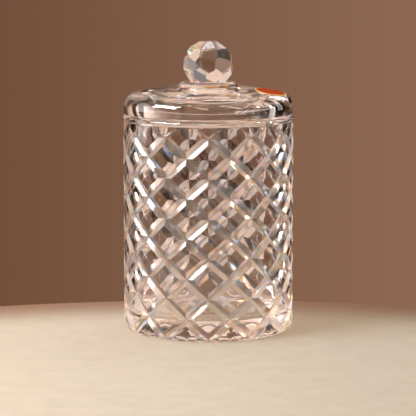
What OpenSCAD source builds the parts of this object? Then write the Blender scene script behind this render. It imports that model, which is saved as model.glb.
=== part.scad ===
/* [Jar] */
// Outer diameter of the jar's wall
jar_d = 120; // [110:1:135]
// Height of the jar up to the rim that carries the lid
jar_h = 153; // [150:1:156]
// Thickness of the wall between the bore and the uncut outside
wall_t = 9; // [8:0.5:12]
// Thickness of the solid glass under the floor
base_t = 13; // [10:0.5:18]
// Radius of the rounded edge at the foot
foot_r = 4.5; // [3:0.5:6]
// Radius of the rounded corner between the bore and the floor
floor_r = 6; // [3:0.5:10]
// Height of the rounded lip at the rim
lip_h = 6; // [4:0.5:8]
// How far the lip stands out from the wall
lip_out = 0.5; // [0.3:0.1:1]

/* [Diamond cuts] */
// Grooves that climb to each hand
cut_count = 12; // [10:1:14]
// Height from one row of crossings to the next
row_pitch = 13.9; // [12:0.1:15]
// Height of the top row of crossings
top_row_z = 140.9; // [138:0.1:142]
// Depth of a groove at a crossing
cut_depth = 1.8; // [1.6:0.1:2.4]
// Included angle of the V of a groove
cut_angle = 118; // [110:1:122]
// Turn over which a groove runs out above the top row, in degrees
run_out = 6; // [4:0.5:8]

/* [Lid] */
// Outer diameter of the lid
lid_d = 119; // [110:0.2:119.4]
// Upright height of the lid's side below the shoulder
lid_side = 5.5; // [4:0.1:7]
// Radius of the lid's rounded shoulder
shoulder_r = 9; // [7:0.5:10]
// Radius of the shallow dome on top of the lid
dome_r = 240; // [180:10:320]
// Diameter of the hollow under the lid
hollow_d = 95; // [90:1:96]
// Depth of the hollow above the seat
hollow_h = 8.2; // [6:0.2:10]
// Radius of the corner round the hollow's roof
roof_r = 1; // [0.5:0.5:4]
// Depth of the locating ring inside the mouth
ring_h = 4.6; // [3:0.2:6]
// Gap between the locating ring and the bore
ring_gap = 0.7; // [0.5:0.1:1.5]
// Gap between the rim and the lid's seat
seat_gap = 0.3; // [0.2:0.1:0.5]

/* [Finial] */
// Diameter of the collar where it meets the lid
collar_d = 42.5; // [40:0.5:46]
// Height of the collar
collar_h = 3.1; // [2.6:0.1:4]
// Height of the collar's steep lower bevels
bevel_h = 1.7; // [1.2:0.1:2.2]
// Lean of the lower bevels from upright, in degrees
low_lean = 36; // [20:1:40]
// Lean of the upper bevels from upright, in degrees
high_lean = 62; // [50:1:68]
// Flat bevels round the collar
collar_sides = 16; // [12:2:20]
// Distance from the ball's middle to its flat facets
ball_flat = 16.6; // [15:0.1:17]
// Height of the ball's middle above the collar
ball_rise = 12.3; // [11.5:0.1:12.8]
// Flat facets round the ball's girdle
ball_sides = 8; // [7:1:9]
// Turn of the ball's front facet, in degrees
ball_turn = -7.5; // [-22.5:0.5:22.5]
// Turn of the upper facets from the girdle facets, in degrees
upper_turn = 8; // [4:0.5:12]
// Tilt of the upper facets, in degrees
upper_tilt = 25; // [22:1:28]
// Tilt of the crown facets, in degrees
crown_tilt = 58; // [52:1:62]
// Tilt of the lower facets, in degrees
lower_tilt = 35; // [32:1:38]

/* [Label] */
// Length of the oval label round the dome
label_w = 33; // [22:1:36]
// Width of the oval label across the shoulder
label_h = 21.5; // [14:0.5:23]
// Thickness of the label
label_t = 0.3; // [0.2:0.1:0.5]
// Turn of the label round from the front, in degrees
label_turn = 78; // [0:1:359]
// Distance of the label's middle from the axis
label_r = 44.5; // [42:0.5:46]

/* [Hidden] */
$fn = 96;
jar_r = jar_d / 2;
bore_r = jar_r - wall_t;
node_r = jar_r - cut_depth;
step_deg = 180 / cut_count;
cut_reach = cut_depth + 2;
rows = ceil(top_row_z / row_pitch);
seat_z = jar_h + seat_gap;
lid_r = lid_d / 2;
shoulder_x = lid_r - shoulder_r;
shoulder_z = seat_z + lid_side;
// The dome's arc and the shoulder's arc meet with one slope
dome_z = shoulder_z - sqrt(pow(dome_r - shoulder_r, 2) - pow(shoulder_x, 2));
dome_slope = asin(shoulder_x / (dome_r - shoulder_r));
collar_z = dome_height(collar_d / 2);
ball_seat_z = collar_z + collar_h;
ball_z = ball_seat_z + ball_rise;

// Height of the dome's top at a distance from the axis
function dome_height(x) = dome_z + sqrt(dome_r * dome_r - x * x);
// The lid's outside from the seat up to a distance from the axis, raised by a skin
function lid_outside(skin, x_end) = concat(
    arc(shoulder_x, shoulder_z, shoulder_r + skin, 0, 90 - dome_slope, 20),
    arc(0, dome_z, dome_r + skin, 90 - dome_slope, acos(x_end / dome_r), 16)
);
function unit(p) = p / norm(p);
// A point of the wall, turned from the front by an angle
function on_wall(r, turn, z) = [r * sin(turn), -r * cos(turn), z];
// Points of an arc in a profile
function arc(cx, cy, r, from, to, n = 8) = [
    for (i = [0 : n]) let (a = from + (to - from) * i / n) [cx + r * cos(a), cy + r * sin(a)]
];

// The point where a groove meets another one, or for k = -1 where it runs out above the top row
function crossing(turn, hand, k) = k < 0
    ? on_wall(jar_r + 0.2, turn - hand * run_out, top_row_z + row_pitch * run_out / step_deg)
    : on_wall(node_r, turn + hand * step_deg * k, top_row_z - row_pitch * k);
// The slope of one flat wall of the V between two crossings: side is 1 or -1
function wall_slope(a, b, side) =
    let (
        u = unit(b - a),
        v = unit(cross([a[0] + b[0], a[1] + b[1], 0], u)),
        w = cross(u, v)
    )
    w * cos(cut_angle / 2) + side * v * sin(cut_angle / 2);
function wall_normal(a, b, side) = cross(unit(b - a), wall_slope(a, b, side));
// From a point at the bottom of the V along a slope, until it is well clear of the glass
function clear_of_glass(p, slope) = p + slope * cut_reach / (slope * unit([p[0], p[1], 0]));
// The mouth's corner at b, on the mitre of the two flat walls that meet there
function mitre(a, b, c, side) =
    clear_of_glass(b, cross(wall_normal(a, b, side), wall_normal(b, c, side)));

// One V-groove: straight lengths from crossing to crossing, with flat walls mitred at each bend
module groove(turn, hand) {
    run = [for (k = [-1 : rows]) crossing(turn, hand, k)];
    last = len(run) - 1;
    points = [
        for (i = [0 : last], corner = [0, 1, -1])
            corner == 0 ? run[i]
            : i == 0 ? clear_of_glass(run[0], wall_slope(run[0], run[1], corner))
            : i == last ? clear_of_glass(run[last], wall_slope(run[last - 1], run[last], corner))
            : mitre(run[i - 1], run[i], run[i + 1], corner)
    ];
    sides = [[0, 3, 4], [0, 4, 1], [0, 2, 5], [0, 5, 3], [2, 1, 4], [2, 4, 5]];
    polyhedron(points, concat(
        [[0, 1, 2]],
        [for (i = [0 : last - 1], f = sides) f + 3 * i * [1, 1, 1]],
        [[3 * last, 3 * last + 2, 3 * last + 1]]
    ));
}

// All the grooves of one hand: hand is 1 or -1
module grooves(hand) {
    for (i = [0 : cut_count - 1])
        groove(2 * step_deg * i, hand);
}

module jar_blank() {
    lip_r = lip_h / 2;
    rotate_extrude()
        polygon(concat(
            [[0, 0]],
            arc(jar_r - foot_r, foot_r, foot_r, -90, 0),
            arc(jar_r + lip_out - lip_r, jar_h - lip_r, lip_r, -acos(1 - lip_out / lip_r), 90, 12),
            arc(bore_r + 1.5, jar_h - 1.5, 1.5, 90, 180, 4),
            arc(bore_r - floor_r, base_t + floor_r, floor_r, 0, -90),
            [[0, base_t]]
        ));
}

module jar() {
    color([0.93, 0.95, 0.96, 0.5])
        difference() {
            jar_blank();
            grooves(1);
            grooves(-1);
        }
}

module lid() {
    ring_r = bore_r - ring_gap;
    hollow_r = hollow_d / 2;
    roof_z = seat_z + hollow_h;
    color([0.93, 0.95, 0.96, 0.5])
        rotate_extrude()
            polygon(concat(
                [[0, roof_z]],
                arc(hollow_r - roof_r, roof_z - roof_r, roof_r, 90, 0, 6),
                arc(hollow_r + 1, seat_z - ring_h + 1, 1, 180, 270, 4),
                arc(ring_r - 1, seat_z - ring_h + 1, 1, -90, 0, 4),
                [[ring_r, seat_z], [lid_r, seat_z]],
                lid_outside(0, collar_d / 2),
                [[0, collar_z]]
            ));
}

// A round bar cut to flat sides that pass through a circle of radius r and lean inward
module leaning_sides(r, lean) {
    size = 4 * r;
    intersection_for (i = [0 : collar_sides - 1])
        rotate([0, 0, (i + 0.5) * 360 / collar_sides])
            translate([r * cos(180 / collar_sides), 0, 0])
                rotate([0, -lean, 0])
                    translate([-size, -size / 2, -size / 2])
                        cube(size);
}

module finial_collar() {
    base_r = collar_d / 2;
    step_r = base_r - bevel_h * tan(low_lean) / cos(180 / collar_sides);
    color([0.95, 0.96, 0.97, 0.5])
        translate([0, 0, collar_z])
            intersection() {
                cylinder(h = collar_h, r = 2 * base_r);
                leaning_sides(base_r, low_lean);
                translate([0, 0, bevel_h])
                    leaning_sides(step_r, high_lean);
            }
}

// A block that fills everything behind one ring of the ball's facets, at a distance from its middle
module behind_facets(turn, tilt, reach) {
    size = 4 * ball_flat;
    intersection_for (i = [0 : ball_sides - 1])
        rotate([0, 0, ball_turn + turn + 360 / ball_sides * i])
            rotate([-tilt, 0, 0])
                translate([-size / 2, -reach, -size / 2])
                    cube(size);
}

module finial_ball() {
    color([0.96, 0.97, 0.98, 0.5])
        translate([0, 0, ball_z])
            intersection() {
                translate([-2 * ball_flat, -2 * ball_flat, -ball_rise])
                    cube([4 * ball_flat, 4 * ball_flat, ball_rise + 0.955 * ball_flat]);
                behind_facets(0, 0, ball_flat);
                behind_facets(upper_turn, upper_tilt, 1.016 * ball_flat);
                behind_facets(0, crown_tilt, ball_flat);
                behind_facets(180 / ball_sides, -lower_tilt, ball_flat);
            }
}

// Points of an ellipse with the given half axes
function ellipse(a, b, n = 60) = [for (i = [0 : n - 1]) [a * cos(360 * i / n), b * sin(360 * i / n)]];

// The label is a thin skin on the lid, trimmed to an oval seen from above
module label() {
    x_in = label_r - label_h / 2 - 6;
    inside = lid_outside(0, x_in);
    color([0.80, 0.30, 0.06])
        intersection() {
            rotate_extrude()
                polygon(concat(
                    lid_outside(label_t, x_in),
                    [for (i = [len(inside) - 1 : -1 : 0]) inside[i]]
                ));
            rotate([0, 0, label_turn])
                translate([0, -label_r, shoulder_z + 2])
                    linear_extrude(40)
                        polygon(ellipse(label_w / 2, label_h / 2));
        }
}

jar();
lid();
finial_collar();
finial_ball();
label();
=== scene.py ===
import math
import bpy
import numpy as np
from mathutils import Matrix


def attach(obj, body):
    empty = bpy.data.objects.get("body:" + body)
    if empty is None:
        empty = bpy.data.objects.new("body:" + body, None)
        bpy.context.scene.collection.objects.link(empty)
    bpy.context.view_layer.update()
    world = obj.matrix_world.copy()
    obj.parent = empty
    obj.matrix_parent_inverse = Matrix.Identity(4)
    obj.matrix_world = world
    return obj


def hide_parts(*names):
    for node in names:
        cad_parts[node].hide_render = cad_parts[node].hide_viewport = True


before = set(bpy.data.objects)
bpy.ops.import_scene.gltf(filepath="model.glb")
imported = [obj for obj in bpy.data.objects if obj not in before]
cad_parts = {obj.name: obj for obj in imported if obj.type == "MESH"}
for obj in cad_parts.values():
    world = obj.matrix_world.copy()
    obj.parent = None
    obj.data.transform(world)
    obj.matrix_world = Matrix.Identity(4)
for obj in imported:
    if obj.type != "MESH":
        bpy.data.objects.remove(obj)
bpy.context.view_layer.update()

scene = bpy.context.scene
scene.view_settings.view_transform = 'Standard'
scene.cycles.max_bounces = 32  # light passes many walls of glass on its way through the jar
scene.cycles.transmission_bounces = 32
scene.cycles.glossy_bounces = 16
scene.cycles.transparent_max_bounces = 16
scene.cycles.caustics_reflective = False
scene.cycles.caustics_refractive = False
print("frame loaded:", ", ".join(sorted(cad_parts)))

mm = 0.001


# shared helpers

def atAzimuth(r, turn, z):
    # (r sin a, -r cos a, z): azimuth 0 faces the front, positive turns toward +X
    r, turn, z = np.broadcast_arrays(r, turn, z)
    return np.stack([r * np.sin(turn), -r * np.cos(turn), z], axis=-1)


def arcPoints(cx, cz, r, start, end, steps):
    # points of a circular arc in a profile, angles in degrees
    a = np.radians(np.linspace(start, end, steps + 1))
    return np.stack([cx + r * np.cos(a), cz + r * np.sin(a)], axis=-1)


def ringQuads(ringA, ringB):
    # quads between two closed rings of vertex numbers, facing out when ringA lies below ringB
    nextA = np.roll(ringA, -1)
    nextB = np.roll(ringB, -1)
    return np.stack([ringA, nextA, nextB, ringB], axis=-1)


def stackQuads(rings):
    # quads between each ring and the next one
    return np.concatenate([ringQuads(below, above) for below, above in zip(rings[:-1], rings[1:])])


def newPiece(name, verts, faces, smooth, sharpAngle):
    mesh = bpy.data.meshes.new(name)
    mesh.from_pydata(np.asarray(verts).tolist(), [], faces)
    mesh.polygons.foreach_set("use_smooth", np.asarray(smooth, dtype=bool))
    mesh.update()
    mesh.set_sharp_from_angle(angle=math.radians(sharpAngle))
    mesh.validate()
    piece = bpy.data.objects.new(name, mesh)
    scene.collection.objects.link(piece)
    return piece


def setPointValue(piece, name, values):
    # one number at each point, which the piece's material reads by name
    layer = piece.data.attributes.new(name, 'FLOAT', 'POINT')
    layer.data.foreach_set("value", np.asarray(values, dtype=np.float32))


def addNode(tree, kind, place, **values):
    node = tree.nodes.new(kind)
    node.location = place
    for key, value in values.items():
        setattr(node, key, value)
    return node


def setStops(node, stops):
    # a colour ramp starts with two stops, and the others are added after them from left to right
    elements = node.color_ramp.elements
    for i, (place, colour) in enumerate(stops):
        stop = elements[i] if i < 2 else elements.new(place)
        stop.position = place
        stop.color = colour


# node group: soft uneven marks left by polishing and handling, as a value and a height

polishLook = {"detail": 3.0, "roughness": 0.6, "lowEnd": 0.35, "highEnd": 0.7}


def polishGroup(look):
    tree = bpy.data.node_groups.new("polishMarks", "ShaderNodeTree")
    tree.interface.new_socket(name="Vector", in_out='INPUT', socket_type="NodeSocketVector")
    for name in ("Size", "Low", "High"):
        tree.interface.new_socket(name=name, in_out='INPUT', socket_type="NodeSocketFloat")
    for name in ("Value", "Height"):
        tree.interface.new_socket(name=name, in_out='OUTPUT', socket_type="NodeSocketFloat")
    enter = addNode(tree, "NodeGroupInput", (-600, 0))
    leave = addNode(tree, "NodeGroupOutput", (500, 0))
    broad = addNode(tree, "ShaderNodeTexNoise", (-300, 150))
    broad.inputs["Detail"].default_value = look["detail"]
    broad.inputs["Roughness"].default_value = look["roughness"]
    span = addNode(tree, "ShaderNodeMapRange", (0, 150))
    span.inputs["From Min"].default_value = look["lowEnd"]
    span.inputs["From Max"].default_value = look["highEnd"]
    links = tree.links
    links.new(enter.outputs["Vector"], broad.inputs["Vector"])
    links.new(enter.outputs["Size"], broad.inputs["Scale"])
    links.new(broad.outputs["Fac"], span.inputs["Value"])
    links.new(enter.outputs["Low"], span.inputs["To Min"])
    links.new(enter.outputs["High"], span.inputs["To Max"])
    links.new(span.outputs["Result"], leave.inputs["Value"])
    links.new(broad.outputs["Fac"], leave.inputs["Height"])
    return tree


polishMarks = polishGroup(polishLook)


def polishNode(tree, place, size, low, high):
    node = addNode(tree, "ShaderNodeGroup", place, node_tree=polishMarks)
    node.inputs["Size"].default_value = size
    node.inputs["Low"].default_value = low
    node.inputs["High"].default_value = high
    return node


# crystal: clear heavy glass, which lets most of the light through where it casts a shadow
# its fire comes from three glasses that bend warm, plain and cool light by different amounts
# and together are nearly white

crystalLook = {
    "warm": {"ior": 1.49, "tint": (1.93, 0.992, 0.12, 1.0)},
    "plain": {"ior": 1.545, "tint": (1.0, 0.991, 0.993, 1.0)},
    "cool": {"ior": 1.60, "tint": (0.12, 0.992, 1.9, 1.0)},
    "fireShare": 2 / 3,  # warm and cool glass together, where a face is fully faceted
    "markSize": 70.0, "markLow": 0.0, "markHigh": 0.008,
    "wave": 0.01, "waveDepth": 1 * mm,
    "cutMatt": 0.01,  # roughness that the walls of the cuts have on top of the marks
    "satin": (1.0, 0.965, 0.925, 1.0), "satinShare": 0.36, "satinMatt": 0.28,
    "shadowTint": (0.84, 0.80, 0.745, 1.0),
}


def crystalMaterial(look):
    material = bpy.data.materials.new("cutCrystal")
    material.use_nodes = True
    tree = material.node_tree
    tree.nodes.clear()
    links = tree.links
    coords = addNode(tree, "ShaderNodeTexCoord", (-700, 0))
    marks = polishNode(tree, (-450, 0), look["markSize"], look["markLow"], look["markHigh"])
    bump = addNode(tree, "ShaderNodeBump", (-150, -200))
    bump.inputs["Strength"].default_value = look["wave"]
    bump.inputs["Distance"].default_value = look["waveDepth"]
    links.new(coords.outputs["Object"], marks.inputs["Vector"])
    links.new(marks.outputs["Height"], bump.inputs["Height"])
    # roughness = marks + cutMatt * cut
    cut = addNode(tree, "ShaderNodeAttribute", (-450, -350), attribute_name="cut")
    matt = addNode(tree, "ShaderNodeMath", (-150, 100), operation='MULTIPLY_ADD')
    matt.inputs[1].default_value = look["cutMatt"]
    links.new(cut.outputs["Fac"], matt.inputs[0])
    links.new(marks.outputs["Value"], matt.inputs[2])
    glasses = {}
    for row, name in enumerate(("warm", "plain", "cool")):
        glass = addNode(tree, "ShaderNodeBsdfGlass", (100, 200 - 200 * row))
        glass.inputs["IOR"].default_value = look[name]["ior"]
        glass.inputs["Color"].default_value = look[name]["tint"]
        links.new(matt.outputs["Value"], glass.inputs["Roughness"])
        links.new(bump.outputs["Normal"], glass.inputs["Normal"])
        glasses[name] = glass.outputs["BSDF"]
    # share of plain glass = 1 - fireShare * faceted, and the rest is warm and cool by halves
    faceted = addNode(tree, "ShaderNodeAttribute", (100, 500), attribute_name="faceted")
    plain = addNode(tree, "ShaderNodeMath", (300, 500), operation='MULTIPLY_ADD')
    plain.inputs[1].default_value = -look["fireShare"]
    plain.inputs[2].default_value = 1.0
    ends = addNode(tree, "ShaderNodeMixShader", (300, 100))
    ends.inputs["Fac"].default_value = 0.5
    fire = addNode(tree, "ShaderNodeMixShader", (500, 0))
    links.new(faceted.outputs["Fac"], plain.inputs[0])
    links.new(plain.outputs["Value"], fire.inputs["Fac"])
    links.new(glasses["warm"], ends.inputs[1])
    links.new(glasses["cool"], ends.inputs[2])
    links.new(ends.outputs["Shader"], fire.inputs[1])
    links.new(glasses["plain"], fire.inputs[2])
    # the walls of the cuts are in part satin for light that meets them from outside, so the near
    # side's cuts show as light bars and the far side's stay clear: satinShare * cut * (1 - backfacing)
    share = addNode(tree, "ShaderNodeMath", (300, 700), operation='MULTIPLY')
    share.inputs[1].default_value = look["satinShare"]
    sides = addNode(tree, "ShaderNodeNewGeometry", (100, 900))
    fromOutside = addNode(tree, "ShaderNodeMath", (300, 900), operation='SUBTRACT')
    fromOutside.inputs[0].default_value = 1.0
    outerShare = addNode(tree, "ShaderNodeMath", (500, 700), operation='MULTIPLY')
    satin = addNode(tree, "ShaderNodeBsdfGlass", (300, -300))
    satin.inputs["Color"].default_value = look["satin"]
    satin.inputs["IOR"].default_value = look["plain"]["ior"]
    satin.inputs["Roughness"].default_value = look["satinMatt"]
    worn = addNode(tree, "ShaderNodeMixShader", (700, 0))
    links.new(cut.outputs["Fac"], share.inputs[0])
    links.new(sides.outputs["Backfacing"], fromOutside.inputs[1])
    links.new(share.outputs["Value"], outerShare.inputs[0])
    links.new(fromOutside.outputs["Value"], outerShare.inputs[1])
    links.new(outerShare.outputs["Value"], worn.inputs["Fac"])
    links.new(fire.outputs["Shader"], worn.inputs[1])
    links.new(satin.outputs["BSDF"], worn.inputs[2])
    # a shadow ray goes straight through, and takes on a little of the shadow's tint
    path = addNode(tree, "ShaderNodeLightPath", (700, 300))
    shade = addNode(tree, "ShaderNodeBsdfTransparent", (700, -300))
    shade.inputs["Color"].default_value = look["shadowTint"]
    mix = addNode(tree, "ShaderNodeMixShader", (900, 0))
    out = addNode(tree, "ShaderNodeOutputMaterial", (1100, 0))
    links.new(path.outputs["Is Shadow Ray"], mix.inputs["Fac"])
    links.new(worn.outputs["Shader"], mix.inputs[1])
    links.new(shade.outputs["BSDF"], mix.inputs[2])
    links.new(mix.outputs["Shader"], out.inputs["Surface"])
    return material


crystal = crystalMaterial(crystalLook)
print("crystal material ready")


# jar: a thick tube with a floor, cut outside with two hands of V-grooves

jarSize = {
    "wallR": 60 * mm, "boreR": 51 * mm, "height": 153 * mm, "floorZ": 13 * mm,
    "footR": 4.5 * mm, "floorR": 6 * mm,  # roundings of the foot outside and of the floor inside
    "lipR": 3 * mm, "lipOut": 0.5 * mm, "mouthR": 1.5 * mm,
    "cuts": 12, "rows": 11, "rowPitch": 13.9 * mm, "topRow": 140.9 * mm, "bandTop": 148.2 * mm,
    "cutDepth": 1.9 * mm,
    "cutHalf": 0.165,  # half width of a groove, as a share of the spacing
    "soft": 0.08,  # rounded share of that half width, at the bottom and at the pad's edge
    "runOut": 0.4,  # rows over which a groove fades above the top row
    "narrowest": 0.08,  # share of its width that is left at the end
    "mattRise": 12,  # how quickly a wall turns from pad to cut with its depth
    "padSteps": 4, "lipSteps": 12, "mouthSteps": 6, "boreSteps": 6, "floorSteps": 8,
    "floorRings": (0.5, 0.2), "sharpAngle": 18,
}


def cutLevels(size):
    # places of the grid lines inside one cell: rounded groove bottom, wall, rounded pad edge, pad,
    # and back again
    a = size["cutHalf"]
    soft = size["soft"]
    wall = a * np.array([0, soft / 2, soft, 0.5, 1 - soft, 1 - soft / 2, 1, 1 + soft / 2])
    edge = a * (1 + soft)
    pad = np.linspace(edge, 1 - edge, size["padSteps"] + 1)
    return np.concatenate([wall, pad, 1 - wall[:0:-1]])


def grooveShape(u, soft):
    # depth across a groove, 1 - u, with parabolas in place of the corners at its bottom and at
    # the pad's edge
    v = 1 - np.where(u < soft, (u * u / soft + soft) / 2, u)
    return np.where(v > soft, v, np.maximum(v + soft, 0) ** 2 / (4 * soft))


def cutWall(size):
    # The grid runs along the grooves. P = (s + t) / 2 and Q = (s - t) / 2 number the grooves of each
    # hand, where s is the azimuth in half spacings and t the height in rows down from the top row
    # of crossings.
    # depth = cutDepth * grooveShape(min(distance to groove P, distance to groove Q) / cutHalf)
    levels = cutLevels(size)
    n = len(levels)
    ring = size["cuts"] * n
    lowest = size["rows"] * n
    d = np.arange(-n, lowest + 1)[:, None]  # d = i - j, so t is a whole number at both ends
    j = np.arange(ring)[None, :]
    i = j + d
    p0 = i // n + levels[i % n]
    q0 = j // n + levels[j % n] + 0 * d
    t0 = p0 - q0
    runOut = size["runOut"]
    fade = np.clip(1 + t0 / runOut, 0, 1)  # the grooves run out above the top row
    narrow = np.maximum(fade, size["narrowest"])
    a = size["cutHalf"]

    def drawn(x):
        # moves a grid line toward its groove so that the V narrows as it gets shallower
        near = np.round(x)
        off = np.abs(x - near)
        inside = off * narrow
        outside = a * narrow + (off - a) * (0.5 - a * narrow) / (0.5 - a)
        return near + np.sign(x - near) * np.where(off <= a, inside, outside), off

    p1, offP = drawn(p0)
    q1, offQ = drawn(q0)
    depth = size["cutDepth"] * fade * grooveShape(np.minimum(offP, offQ) / a, size["soft"])
    # above the run-out, the rows close up so that the grid ends at bandTop
    t = p1 - q1
    pitch = size["rowPitch"]
    squeeze = (size["bandTop"] - size["topRow"] - pitch * runOut) / (pitch * (1 - runOut))
    t = np.where(t < -runOut, -runOut + (t + runOut) * squeeze, t)
    w = size["topRow"] - pitch * t  # length along the uncut profile, which turns round the foot
    f = size["footR"]
    wall = size["wallR"]
    phi = np.clip((f - w) / f, 0, math.pi / 2)
    z = np.where(w > f, w, f * (1 - np.sin(phi)))
    under = np.maximum(0, f - f * math.pi / 2 - w)
    radius = np.minimum(wall - f * (1 - np.cos(phi)) - under, wall - depth)
    turn = (p1 + q1) * math.pi / size["cuts"]
    verts = atAzimuth(radius, turn, z)

    # two triangles for each quad, split along the mitre
    def number(di, jj):
        return (di + n) * ring + jj % ring

    dq = np.arange(-n + 1, lowest)[:, None] + 0 * j
    jq = j + 0 * dq
    iq = jq + dq
    low = number(dq, jq)
    right = number(dq + 1, jq)
    high = number(dq, jq + 1)
    left = number(dq - 1, jq + 1)
    halfP = iq % n < n // 2
    halfQ = jq % n < n // 2
    main = (halfP == halfQ)[..., None]
    first = np.where(main, np.stack([low, right, high], -1), np.stack([low, right, left], -1))
    second = np.where(main, np.stack([low, high, left], -1), np.stack([right, high, left], -1))
    jj = np.arange(ring)
    top = np.stack([number(-n, jj), number(-n + 1, jj), number(-n, jj + 1)], -1)
    bottom = np.stack([number(lowest, jj), number(lowest, jj + 1), number(lowest - 1, jj + 1)], -1)
    tris = np.concatenate([first.reshape(-1, 3), second.reshape(-1, 3), top, bottom])
    return {"verts": verts.reshape(-1, 3), "tris": tris, "cut": depth.reshape(-1) / size["cutDepth"],
            "topRing": number(-n, jj), "topTurns": turn[0], "bottomRing": number(lowest, jj)}


def makeJar(size):
    outer = cutWall(size)
    h = size["height"]
    wall = size["wallR"]
    bore = size["boreR"]
    lip = size["lipR"]
    mouth = size["mouthR"]
    fillet = size["floorR"]
    floorZ = size["floorZ"]
    lipStart = -math.degrees(math.acos(1 - size["lipOut"] / lip))
    # rim, mouth, bore and floor as one profile turned round the axis
    boreZ = np.linspace(h - mouth, floorZ + fillet, size["boreSteps"] + 1)[1:-1]
    profile = np.concatenate([
        arcPoints(wall + size["lipOut"] - lip, h - lip, lip, lipStart, 90, size["lipSteps"]),
        arcPoints(bore + mouth, h - mouth, mouth, 90, 180, size["mouthSteps"]),
        np.stack([np.full(len(boreZ), bore), boreZ], -1),
        arcPoints(bore - fillet, floorZ + fillet, fillet, 0, -90, size["floorSteps"]),
        [[bore * share, floorZ] for share in size["floorRings"]],
    ])
    topRing = outer["topRing"]
    bottomRing = outer["bottomRing"]
    ring = len(topRing)
    inner = atAzimuth(profile[:, :1], outer["topTurns"][None, :], profile[:, 1:]).reshape(-1, 3)
    start = len(outer["verts"])
    rings = start + np.arange(len(inner)).reshape(-1, ring)
    chain = np.concatenate([topRing[None, :], rings])
    floorPole = start + len(inner)
    basePole = floorPole + 1
    verts = np.concatenate([outer["verts"], inner, [[0, 0, floorZ], [0, 0, 0]]])
    floorFan = np.stack([chain[-1], np.roll(chain[-1], -1), np.full(ring, floorPole)], -1)
    baseFan = np.stack([np.roll(bottomRing, -1), bottomRing, np.full(ring, basePole)], -1)
    faces = outer["tris"].tolist() + stackQuads(chain).tolist() + floorFan.tolist() + baseFan.tolist()
    piece = newPiece("jarCrystal", verts, faces, np.ones(len(faces)), size["sharpAngle"])
    inCut = np.clip(outer["cut"] * size["mattRise"], 0, 1)
    inCut = np.concatenate([inCut, np.zeros(len(verts) - start)])
    setPointValue(piece, "cut", inCut)
    setPointValue(piece, "faceted", inCut)
    piece.data.materials.append(crystal)
    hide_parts("jar")
    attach(piece, "jar")
    print("jar:", len(verts), "points", len(faces), "faces")


makeJar(jarSize)


# lid: a domed cover with a locating ring, and the bonded finial on top of it in the same glass

lidSize = {
    "outerR": 59.5 * mm, "seatZ": 153.3 * mm, "side": 5.5 * mm, "shoulderR": 9 * mm, "domeR": 240 * mm,
    "hollowR": 47.5 * mm, "roofZ": 161.5 * mm, "roofFillet": 1 * mm, "roofRings": (0.2, 0.6),
    "ringR": 50.3 * mm, "ringZ": 148.7 * mm, "edgeR": 1 * mm,
    "neck": 0.4 * mm, "brim": 0.5 * mm, "brimSoft": 0.15 * mm,  # small bevels where the lid sits
    "collarR": 21.25 * mm, "points": 144,
    "roofSteps": 10, "edgeSteps": 4, "shoulderSteps": 24, "domeSteps": 16, "sharpAngle": 25,
}
collarSize = {
    "sides": 16, "foot": 21.2 * mm, "step": 19.99 * mm, "top": 17.31 * mm,
    "stepZ": 1.7 * mm, "topZ": 3.1 * mm,
    "faceted": 1.0,  # share of the crystal's fire
}
ballSize = {
    "sides": 8, "turn": -7.5, "rise": 12.3 * mm, "table": 15.85 * mm,
    # each row of facets: turn and tilt in degrees, and distance from the ball's middle
    "rows": ((0.0, 0.0, 16.6 * mm), (8.0, 25.0, 16.86 * mm), (0.0, 58.0, 16.6 * mm),
             (22.5, -35.0, 16.6 * mm)),
    "countFrom": 10,  # degrees before the front from which the seat's corners are counted
    "faceted": 0.5,
}


def domeTop(size):
    # the dome's arc meets the shoulder's arc with one slope
    x = size["outerR"] - size["shoulderR"]
    r = size["domeR"] - size["shoulderR"]
    return size["seatZ"] + size["side"] - math.sqrt(r * r - x * x), math.degrees(math.asin(x / r))


def lidHeight(size, r):
    # height of the lid's outside at a distance from the axis
    centre, slope = domeTop(size)
    x = size["outerR"] - size["shoulderR"]
    z = size["seatZ"] + size["side"]
    dome = centre + np.sqrt(size["domeR"] ** 2 - r ** 2)
    shoulder = z + np.sqrt(np.maximum(0, size["shoulderR"] ** 2 - (r - x) ** 2))
    joint = size["domeR"] * math.sin(math.radians(slope))
    return np.where(r < joint, dome, shoulder)


def polygonRadius(corner, sides, turn):
    # distance from the axis to the side of a regular polygon with a corner at azimuth 0
    step = 2 * math.pi / sides
    return corner * math.cos(step / 2) / np.cos(np.mod(turn, step) - step / 2)


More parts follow.
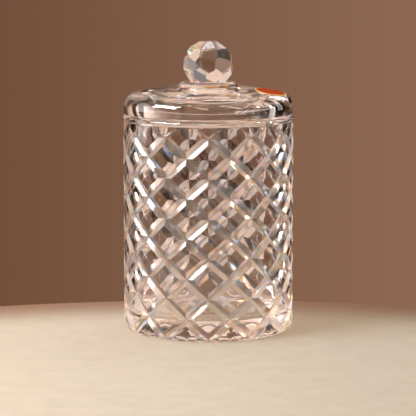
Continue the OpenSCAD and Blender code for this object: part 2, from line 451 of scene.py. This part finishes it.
def facetedBall(size, centreZ):
    # the ball is what lies behind every facet plane n . x = h: its corners are the points where
    # three planes meet and no other plane cuts them off
    parallel = 1e-6  # three planes with a smaller determinant don't meet in one point
    slack = 1e-9  # how far a corner may lie past a plane
    onPlane = 1e-7  # how near a corner of a facet lies to its plane
    digits = 9  # decimals to which corners found twice agree
    sides = size["sides"]
    around = size["turn"] + np.arange(sides) * 360 / sides
    normals = np.concatenate([
        atAzimuth(math.cos(math.radians(tilt)), np.radians(around + turn), math.sin(math.radians(tilt)))
        for turn, tilt, flat in size["rows"]
    ] + [np.array([[0, 0, 1.0], [0, 0, -1.0]])])
    reach = np.concatenate(
        [np.full(sides, flat) for turn, tilt, flat in size["rows"]] + [[size["table"], size["rise"]]])
    n = len(normals)
    i, j, k = np.meshgrid(np.arange(n), np.arange(n), np.arange(n), indexing="ij")
    triple = np.stack([i, j, k], -1)[(i < j) & (j < k)]
    matrix = normals[triple]
    solid = np.abs(np.linalg.det(matrix)) > parallel
    triple = triple[solid]
    matrix = matrix[solid]
    corner = np.linalg.solve(matrix, reach[triple][..., None])[..., 0]
    inside = (corner @ normals.T <= reach + slack).all(axis=1)
    corner = np.unique(np.round(corner[inside], digits), axis=0)
    faces = []
    for normal, h in zip(normals[:-1], reach[:-1]):  # the last plane is the seat, open for the joint
        on = np.flatnonzero(np.abs(corner @ normal - h) < onPlane)
        across = np.cross([0, 0, 1.0], normal)
        length = np.linalg.norm(across)
        across = np.array([1.0, 0, 0]) if length < parallel else across / length
        up = np.cross(normal, across)
        spokes = corner[on] - corner[on].mean(axis=0)
        faces.append(on[np.argsort(np.arctan2(spokes @ up, spokes @ across))])
    seat = np.flatnonzero(np.abs(corner[:, 2] + size["rise"]) < onPlane)
    azimuth = np.arctan2(corner[seat, 0], -corner[seat, 1])
    seat = seat[np.argsort(np.mod(azimuth + math.radians(size["countFrom"]), 2 * math.pi))]
    return corner + [0, 0, centreZ], faces, seat


def makeLid(size, collar, ball):
    count = size["points"]
    turns = np.arange(count) * 2 * math.pi / count
    centre, slope = domeTop(size)
    x = size["outerR"] - size["shoulderR"]
    z = size["seatZ"] + size["side"]
    e = size["edgeR"]
    seat = size["seatZ"]
    roofZ = size["roofZ"]
    fillet = size["roofFillet"]
    ringR = size["ringR"]
    ringZ = size["ringZ"]
    outerR = size["outerR"]
    collarEnd = math.degrees(math.acos(size["collarR"] / size["domeR"]))
    # from the middle of the hollow's roof, out and down round the locating ring, then up over the
    # shoulder and the dome
    profile = np.concatenate([
        [[size["hollowR"] * share, roofZ] for share in size["roofRings"]],
        arcPoints(size["hollowR"] - fillet, roofZ - fillet, fillet, 90, 0, size["roofSteps"]),
        arcPoints(size["hollowR"] + e, ringZ + e, e, 180, 270, size["edgeSteps"]),
        arcPoints(ringR - e, ringZ + e, e, -90, 0, size["edgeSteps"]),
        [[ringR, seat - size["neck"]], [ringR + size["neck"], seat], [outerR - size["brim"], seat],
         [outerR - size["brimSoft"], seat + size["brimSoft"]], [outerR, seat + size["brim"]]],
        arcPoints(x, z, size["shoulderR"], 0, 90 - slope, size["shoulderSteps"]),
        arcPoints(0, centre, size["domeR"], 90 - slope, collarEnd, size["domeSteps"])[1:],
    ])
    collarZ = float(lidHeight(size, np.array(size["collarR"])))
    body = atAzimuth(profile[:, :1], turns[None, :], profile[:, 1:]).reshape(-1, 3)
    steps = ((collar["foot"], 0), (collar["step"], collar["stepZ"]), (collar["top"], collar["topZ"]))
    stack = np.concatenate([
        atAzimuth(polygonRadius(r, collar["sides"], turns), turns, collarZ + up) for r, up in steps])
    ballZ = collarZ + collar["topZ"] + ball["rise"]
    knob, knobFaces, knobSeat = facetedBall(ball, ballZ)
    roofPole = len(body) + len(stack)
    verts = np.concatenate([body, stack, [[0, 0, roofZ]], knob])
    rings = np.arange(roofPole).reshape(-1, count)
    quads = stackQuads(rings)
    roof = np.stack([np.roll(rings[0], -1), rings[0], np.full(count, roofPole)], -1)
    # flat top of the collar: its edge is joined to the nearest corner of the ball's seat
    knobStart = roofPole + 1
    knobSeat = knobStart + knobSeat
    sides = ball["sides"]
    where = np.degrees(turns) + 180 / count - ball["turn"]
    nearest = np.floor(np.mod(where / (360 / sides) + 0.5, sides)).astype(int)
    outer = rings[-1]
    land = np.stack([outer, np.roll(outer, -1), knobSeat[nearest]], -1)
    between = ball["turn"] + (np.arange(sides) + 0.5) * 360 / sides
    half = np.round(between * count / 360).astype(int) % count
    fill = np.stack([knobSeat, outer[half], np.roll(knobSeat, -1)], -1)
    knobNumbers = [(knobStart + face).tolist() for face in knobFaces]
    faces = quads.tolist() + roof.tolist() + land.tolist() + fill.tolist() + knobNumbers
    smooth = np.zeros(len(faces))
    smooth[:len(body)] = 1  # the turned faces are smooth, the cut ones flat
    smooth[len(quads):len(quads) + count] = 1
    piece = newPiece("lidCrystal", verts, faces, smooth, size["sharpAngle"])
    faceted = np.zeros(len(verts))
    faceted[len(body):roofPole] = collar["faceted"]
    faceted[knobStart:] = ball["faceted"]
    setPointValue(piece, "faceted", faceted)
    piece.data.materials.append(crystal)
    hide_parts("lid", "finial_collar", "finial_ball")
    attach(piece, "lid")
    print("lid and finial:", len(verts), "points", len(faces), "faces")


makeLid(lidSize, collarSize, ballSize)


# label: a blank oval of coloured foil with a gilt edge, stuck on the shoulder of the lid

labelSize = {
    "turn": 78.0, "place": 44.5 * mm, "length": 33 * mm, "width": 21.5 * mm,
    "thick": 0.25 * mm, "gap": 0.03 * mm, "underGap": 0.015 * mm,
    "edgeRise": 14,  # how quickly the foil thickens in from its edge
    "edgeShare": 0.35,  # share of the thickness at the edge's upper corner
    "around": 96, "across": 22, "sharpAngle": 40,
}
labelLook = {
    "face": (0.50, 0.060, 0.001, 1.0), "faceDark": (0.41, 0.040, 0.001, 1.0),
    "gilt": (0.90, 0.58, 0.22, 1.0), "rimStart": 0.90, "rimSoft": 0.02,
    "grain": 900.0, "mattLow": 0.35, "mattHigh": 0.55, "grainBump": 0.12, "grainDepth": 0.2 * mm,
    "shine": 0.03,
}


def labelMaterial(look):
    material = bpy.data.materials.new("labelFoil")
    material.use_nodes = True
    tree = material.node_tree
    links = tree.links
    foil = tree.nodes["Principled BSDF"]
    foil.inputs["Specular IOR Level"].default_value = look["shine"]
    coords = addNode(tree, "ShaderNodeTexCoord", (-1100, 0))
    marks = polishNode(tree, (-850, -150), look["grain"], look["mattLow"], look["mattHigh"])
    split = addNode(tree, "ShaderNodeSeparateXYZ", (-850, 200))
    rim = addNode(tree, "ShaderNodeMapRange", (-650, 250), interpolation_type='SMOOTHSTEP')
    rim.inputs["From Min"].default_value = look["rimStart"]
    rim.inputs["From Max"].default_value = look["rimStart"] + look["rimSoft"]
    shade = addNode(tree, "ShaderNodeMix", (-450, 50), data_type='RGBA')
    shade.inputs["A"].default_value = look["face"]
    shade.inputs["B"].default_value = look["faceDark"]
    colour = addNode(tree, "ShaderNodeMix", (-250, 100), data_type='RGBA')
    colour.inputs["B"].default_value = look["gilt"]
    bump = addNode(tree, "ShaderNodeBump", (-250, -250))
    bump.inputs["Strength"].default_value = look["grainBump"]
    bump.inputs["Distance"].default_value = look["grainDepth"]
    links.new(coords.outputs["Object"], marks.inputs["Vector"])
    links.new(coords.outputs["UV"], split.inputs["Vector"])
    links.new(split.outputs["X"], rim.inputs["Value"])
    links.new(marks.outputs["Height"], shade.inputs["Factor"])
    links.new(shade.outputs["Result"], colour.inputs["A"])
    links.new(rim.outputs["Result"], colour.inputs["Factor"])
    links.new(colour.outputs["Result"], foil.inputs["Base Color"])
    links.new(rim.outputs["Result"], foil.inputs["Metallic"])
    links.new(marks.outputs["Value"], foil.inputs["Roughness"])
    links.new(marks.outputs["Height"], bump.inputs["Height"])
    links.new(bump.outputs["Normal"], foil.inputs["Normal"])
    return material


def makeLabel(size, lid, look):
    # point(q, a) = centre + q (length/2 cos a, width/2 sin a), laid on the lid's outside; the skin
    # is thin at its edge, which is drawn twice for its upper and lower corner
    q = np.concatenate([np.linspace(0, 1, size["across"] + 1)[1:], [1.0]])
    a = np.arange(size["around"]) * 2 * math.pi / size["around"]
    along = q[:, None] * np.cos(a) * size["length"] / 2
    outward = size["place"] + q[:, None] * np.sin(a) * size["width"] / 2
    turn = math.radians(size["turn"])

    def laid(along, outward, lift):
        # a point of the flat label on the lid, raised square to the lid's outside by lift
        r = np.hypot(along, outward)
        azimuth = turn + np.arctan2(along, outward)
        x = lid["outerR"] - lid["shoulderR"]
        z = lid["seatZ"] + lid["side"]
        centre, slope = domeTop(lid)
        height = lidHeight(lid, r)
        onDome = r < lid["domeR"] * math.sin(math.radians(slope))
        rise = np.where(onDome, height - centre, height - z)
        run = np.where(onDome, r, r - x)
        length = np.hypot(run, rise)
        return atAzimuth(r + lift * run / length, azimuth, height + lift * rise / length).reshape(-1, 3)

    top = size["gap"] + size["thick"] * np.sqrt(np.clip((1 - q) * size["edgeRise"], 0, 1))[:, None]
    top[-1] = size["gap"]
    top[-2] = size["gap"] + size["edgeShare"] * size["thick"]
    upper = laid(along, outward, top)
    lower = laid(along[:-1][::-1], outward[:-1][::-1], size["underGap"])
    middle = np.array([[0.0]]), np.array([[size["place"]]])
    topPole = laid(*middle, size["gap"] + size["thick"])
    lowPole = laid(*middle, size["underGap"])
    verts = np.concatenate([upper, lower, topPole, lowPole])
    count = size["around"]
    pole = len(upper) + len(lower)
    rings = np.arange(pole).reshape(-1, count)
    quads = stackQuads(rings)[:, ::-1]
    topFan = np.stack([np.roll(rings[0], -1), rings[0], np.full(count, pole)], -1)
    lowFan = np.stack([rings[-1], np.roll(rings[-1], -1), np.full(count, pole + 1)], -1)
    faces = quads.tolist() + topFan.tolist() + lowFan.tolist()
    piece = newPiece("labelOval", verts, faces, np.ones(len(faces)), size["sharpAngle"])
    # UV: distance from the middle as a share of the oval, and place round it
    mesh = piece.data
    uv = mesh.uv_layers.new(name="ovalPlace")
    corner = np.empty(len(mesh.loops), dtype=np.int32)
    mesh.loops.foreach_get("vertex_index", corner)
    outShare = np.concatenate([np.repeat(q, count), np.repeat(q[:-1][::-1], count), [0, 0]])
    roundShare = np.concatenate([np.tile(a / (2 * math.pi), len(rings)), [0, 0]])
    places = np.stack([outShare[corner], roundShare[corner]], -1)
    uv.data.foreach_set("uv", places.astype(np.float32).ravel())
    mesh.materials.append(labelMaterial(look))
    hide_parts("label")
    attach(piece, "lid")
    print("label:", len(verts), "points", len(faces), "faces")


makeLabel(labelSize, lidSize, labelLook)


# floor: a plain pale disc whose rim fades into the backdrop

floorLook = {
    "back": 0.105, "radius": 0.5, "drop": 0.0003, "points": 128,
    "colour": (0.565, 0.470, 0.372, 1.0), "dark": (0.52, 0.430, 0.336, 1.0), "markSize": 60.0,
    "rim": (0.228, 0.118, 0.070, 1.0), "fade": 0.09, "matt": 0.7,
}


def makeFloor(look):
    centre = (0, look["back"] - look["radius"], -look["drop"])
    a = np.arange(look["points"]) * 2 * math.pi / look["points"]
    verts = atAzimuth(look["radius"], a, 0.0) + centre
    mesh = bpy.data.meshes.new("floor")
    mesh.from_pydata(verts.tolist(), [], [list(range(look["points"]))])
    floor = bpy.data.objects.new("floor", mesh)
    scene.collection.objects.link(floor)
    material = bpy.data.materials.new("paleFloor")
    material.use_nodes = True
    tree = material.node_tree
    links = tree.links
    base = tree.nodes["Principled BSDF"]
    base.inputs["Roughness"].default_value = look["matt"]
    coords = addNode(tree, "ShaderNodeTexCoord", (-800, 0))
    marks = polishNode(tree, (-600, 0), look["markSize"], 0.0, 1.0)
    colour = addNode(tree, "ShaderNodeMix", (-300, 0), data_type='RGBA')
    colour.inputs["A"].default_value = look["colour"]
    colour.inputs["B"].default_value = look["dark"]
    away = addNode(tree, "ShaderNodeVectorMath", (-600, -300), operation='DISTANCE')
    away.inputs[1].default_value = centre
    fade = addNode(tree, "ShaderNodeMapRange", (-300, -300), interpolation_type='SMOOTHSTEP')
    fade.inputs["From Min"].default_value = look["radius"] - look["fade"]
    fade.inputs["From Max"].default_value = look["radius"]
    edge = addNode(tree, "ShaderNodeMix", (-100, -100), data_type='RGBA')
    edge.inputs["B"].default_value = look["rim"]
    links.new(coords.outputs["Object"], marks.inputs["Vector"])
    links.new(marks.outputs["Value"], colour.inputs["Factor"])
    links.new(coords.outputs["Object"], away.inputs[0])
    links.new(away.outputs["Value"], fade.inputs["Value"])
    links.new(fade.outputs["Result"], edge.inputs["Factor"])
    links.new(colour.outputs["Result"], edge.inputs["A"])
    links.new(edge.outputs["Result"], base.inputs["Base Color"])
    mesh.materials.append(material)


makeFloor(floorLook)


# world: the camera sees a warm backdrop with painted shade across it, reflected and bent rays a studio,
# and all else a soft fill

worldLook = {
    # the two backdrop colours are painted shade and light across the backdrop, darker toward -X
    "backdropShaded": (0.148, 0.070, 0.038, 1.0), "backdropLit": (0.285, 0.152, 0.094, 1.0),
    "backdropHalf": 0.13,  # sideways reach of the change from dark to light
    "fill": (0.80, 0.76, 0.72, 1.0), "fillLevel": 0.22,
    "glow": (0.85, 0.62, 0.47, 1.0), "warm": (0.165, 0.082, 0.047, 1.0),
    "deep": (0.012, 0.006, 0.004, 1.0),
    "diagonal": ((0.22, "glow"), (0.44, "warm"), (0.55, "warm"), (0.70, "deep")),
    "level": -0.14, "spread": 3.6,
    "card": 0.03, "cardEdges": ((0.50, 0.54, 0.67, 0.70), (0.77, 0.80, 0.90, 0.93)),
    "roof": (0.88, 0.68, 0.54, 1.0), "roofFrom": 0.28, "roofFull": 0.42,
}


def makeWorld(look):
    world = bpy.data.worlds.new("studio")
    scene.world = world
    world.use_nodes = True
    tree = world.node_tree
    tree.nodes.clear()
    links = tree.links
    coords = addNode(tree, "ShaderNodeTexCoord", (-1100, -150))
    split = addNode(tree, "ShaderNodeSeparateXYZ", (-900, -150))
    links.new(coords.outputs["Generated"], split.inputs["Vector"])
    # skew = (z - level) x: light from the upper left and lower right, deep on the other diagonal,
    # and even straight behind, where the ramp is at its middle
    above = addNode(tree, "ShaderNodeMath", (-700, -350), operation='SUBTRACT')
    above.inputs[1].default_value = look["level"]
    skew = addNode(tree, "ShaderNodeMath", (-500, -350), operation='MULTIPLY')
    spread = addNode(tree, "ShaderNodeMath", (-300, -350), operation='MULTIPLY_ADD')
    spread.inputs[1].default_value = look["spread"]
    spread.inputs[2].default_value = 0.5
    diagonal = addNode(tree, "ShaderNodeValToRGB", (-100, -350))
    setStops(diagonal, [(place, look[name]) for place, name in look["diagonal"]])
    links.new(split.outputs["Z"], above.inputs[0])
    links.new(above.outputs["Value"], skew.inputs[0])
    links.new(split.outputs["X"], skew.inputs[1])
    links.new(skew.outputs["Value"], spread.inputs[0])
    links.new(spread.outputs["Value"], diagonal.inputs["Fac"])
    # dark cards stand at both sides of the backdrop, each with two soft edges in |x|
    side = addNode(tree, "ShaderNodeMath", (-300, -600), operation='ABSOLUTE')
    strip = addNode(tree, "ShaderNodeValToRGB", (-100, -600))
    clear = (1, 1, 1, 1)
    dark = (look["card"], look["card"], look["card"], 1)
    stops = []
    for edges in look["cardEdges"]:
        stops.extend(zip(edges, (clear, dark, dark, clear)))
    setStops(strip, stops)
    carded = addNode(tree, "ShaderNodeMix", (200, -450), data_type='RGBA', blend_type='MULTIPLY')
    carded.inputs["Factor"].default_value = 1.0
    links.new(split.outputs["X"], side.inputs[0])
    links.new(side.outputs["Value"], strip.inputs["Fac"])
    links.new(diagonal.outputs["Color"], carded.inputs["A"])
    links.new(strip.outputs["Color"], carded.inputs["B"])
    # the light ceiling of the studio, above where the cuts look
    high = addNode(tree, "ShaderNodeMapRange", (-100, -900))
    high.inputs["From Min"].default_value = look["roofFrom"]
    high.inputs["From Max"].default_value = look["roofFull"]
    roofed = addNode(tree, "ShaderNodeMix", (400, -450), data_type='RGBA')
    roofed.inputs["B"].default_value = look["roof"]
    studio = addNode(tree, "ShaderNodeBackground", (600, -300))
    links.new(split.outputs["Z"], high.inputs["Value"])
    links.new(high.outputs["Result"], roofed.inputs["Factor"])
    links.new(carded.outputs["Result"], roofed.inputs["A"])
    links.new(roofed.outputs["Result"], studio.inputs["Color"])
    # painted shade on the backdrop: it is darker toward -X and a little lighter toward +X
    across = addNode(tree, "ShaderNodeMapRange", (200, -900))
    across.inputs["From Min"].default_value = -look["backdropHalf"]
    across.inputs["From Max"].default_value = look["backdropHalf"]
    backdrop = addNode(tree, "ShaderNodeMix", (400, -800), data_type='RGBA')
    backdrop.inputs["A"].default_value = look["backdropShaded"]
    backdrop.inputs["B"].default_value = look["backdropLit"]
    shown = addNode(tree, "ShaderNodeBackground", (600, -600))
    links.new(split.outputs["X"], across.inputs["Value"])
    links.new(across.outputs["Result"], backdrop.inputs["Factor"])
    links.new(backdrop.outputs["Result"], shown.inputs["Color"])
    fill = addNode(tree, "ShaderNodeBackground", (600, 0))
    fill.inputs["Color"].default_value = look["fill"]
    fill.inputs["Strength"].default_value = look["fillLevel"]
    # reflected and bent rays see the studio, the camera sees the backdrop
    path = addNode(tree, "ShaderNodeLightPath", (400, 300))
    either = addNode(tree, "ShaderNodeMath", (600, 300), operation='MAXIMUM')
    mixSeen = addNode(tree, "ShaderNodeMixShader", (800, -100))
    mixAll = addNode(tree, "ShaderNodeMixShader", (1000, 0))
    out = addNode(tree, "ShaderNodeOutputWorld", (1200, 0))
    links.new(path.outputs["Is Glossy Ray"], either.inputs[0])
    links.new(path.outputs["Is Transmission Ray"], either.inputs[1])
    links.new(either.outputs["Value"], mixSeen.inputs["Fac"])
    links.new(fill.outputs["Background"], mixSeen.inputs[1])
    links.new(studio.outputs["Background"], mixSeen.inputs[2])
    links.new(path.outputs["Is Camera Ray"], mixAll.inputs["Fac"])
    links.new(mixSeen.outputs["Shader"], mixAll.inputs[1])
    links.new(shown.outputs["Background"], mixAll.inputs[2])
    links.new(mixAll.outputs["Shader"], out.inputs["Surface"])


makeWorld(worldLook)


# lamps: each stands at an azimuth from the front, a distance and a height, and looks at the jar

lampTarget = (0, 0, 0.12)
softWhite = (1.0, 0.98, 0.96)
sparkWarm = (1.0, 0.78, 0.50)
lampRig = {  # through: seen through the glass, spark: only glints on the glass
    "boxKey": {"turn": -64, "away": 1.1, "height": 0.78, "size": (0.85, 0.48), "power": 30.0,
               "colour": softWhite, "through": True, "spark": False},
    "boxLeft": {"turn": -101, "away": 1.0, "height": 0.34, "size": (0.42, 0.70), "power": 2.6,
                "colour": softWhite, "through": True, "spark": False},
    "boxRight": {"turn": 112, "away": 1.0, "height": 0.40, "size": (0.24, 0.75), "power": 1.3,
                 "colour": softWhite, "through": True, "spark": False},
    "boxFill": {"turn": 66, "away": 1.15, "height": 0.75, "size": (0.45, 0.35), "power": 0.6,
                "colour": (1.0, 0.97, 0.94), "through": False, "spark": False},
    "boxTop": {"turn": 165, "away": 0.5, "height": 1.15, "size": (0.35, 0.3), "power": 1.6,
               "colour": (1.0, 0.98, 0.95), "through": False, "spark": False},
    "sparkRight": {"turn": 94.5, "away": 1.1, "height": 0.53, "size": (0.07, 0.20), "power": 5.0,
                   "colour": sparkWarm, "through": False, "spark": True},
    "sparkNear": {"turn": 73.5, "away": 1.1, "height": 0.65, "size": (0.07, 0.18), "power": 4.4,
                  "colour": sparkWarm, "through": False, "spark": True},
}


def makeLamps(rig, target):
    for name, lamp in rig.items():
        light = bpy.data.lights.new(name, 'AREA')
        light.shape = 'RECTANGLE'
        light.size, light.size_y = lamp["size"]
        light.energy = lamp["power"]
        light.color = lamp["colour"]
        obj = bpy.data.objects.new(name, light)
        place = atAzimuth(lamp["away"], math.radians(lamp["turn"]), lamp["height"])
        aim = np.array(target) - place
        aim = aim / np.linalg.norm(aim)
        obj.location = place.tolist()
        # the lamp shines along its own -Z: pitch from straight down, then turn round Z
        obj.rotation_euler = (math.acos(-aim[2]), 0, math.atan2(-aim[0], aim[1]))
        obj.visible_camera = False
        obj.visible_transmission = lamp["through"]
        obj.visible_diffuse = not lamp["spark"]
        scene.collection.objects.link(obj)


makeLamps(lampRig, lampTarget)


# camera: level sideways, pitched down at the jar, with its focal length in pixels of the image

cameraPlace = {
    "x": -0.00022, "distance": 1.5, "height": 0.2944, "pitch": 7.93,
    "focalPixels": 2135.1, "imageWidth": 416, "sensor": 36.0, "clip": (0.05, 50.0),
}


def makeCamera(place):
    camera = bpy.data.cameras.new("camera")
    camera.sensor_width = place["sensor"]
    camera.lens = place["focalPixels"] / place["imageWidth"] * place["sensor"]
    camera.clip_start, camera.clip_end = place["clip"]
    obj = bpy.data.objects.new("camera", camera)
    obj.location = (place["x"], -place["distance"], place["height"])
    obj.rotation_euler = (math.radians(90 - place["pitch"]), 0, 0)
    scene.collection.objects.link(obj)
    scene.camera = obj


makeCamera(cameraPlace)
print("floor, world, lamps and camera ready")
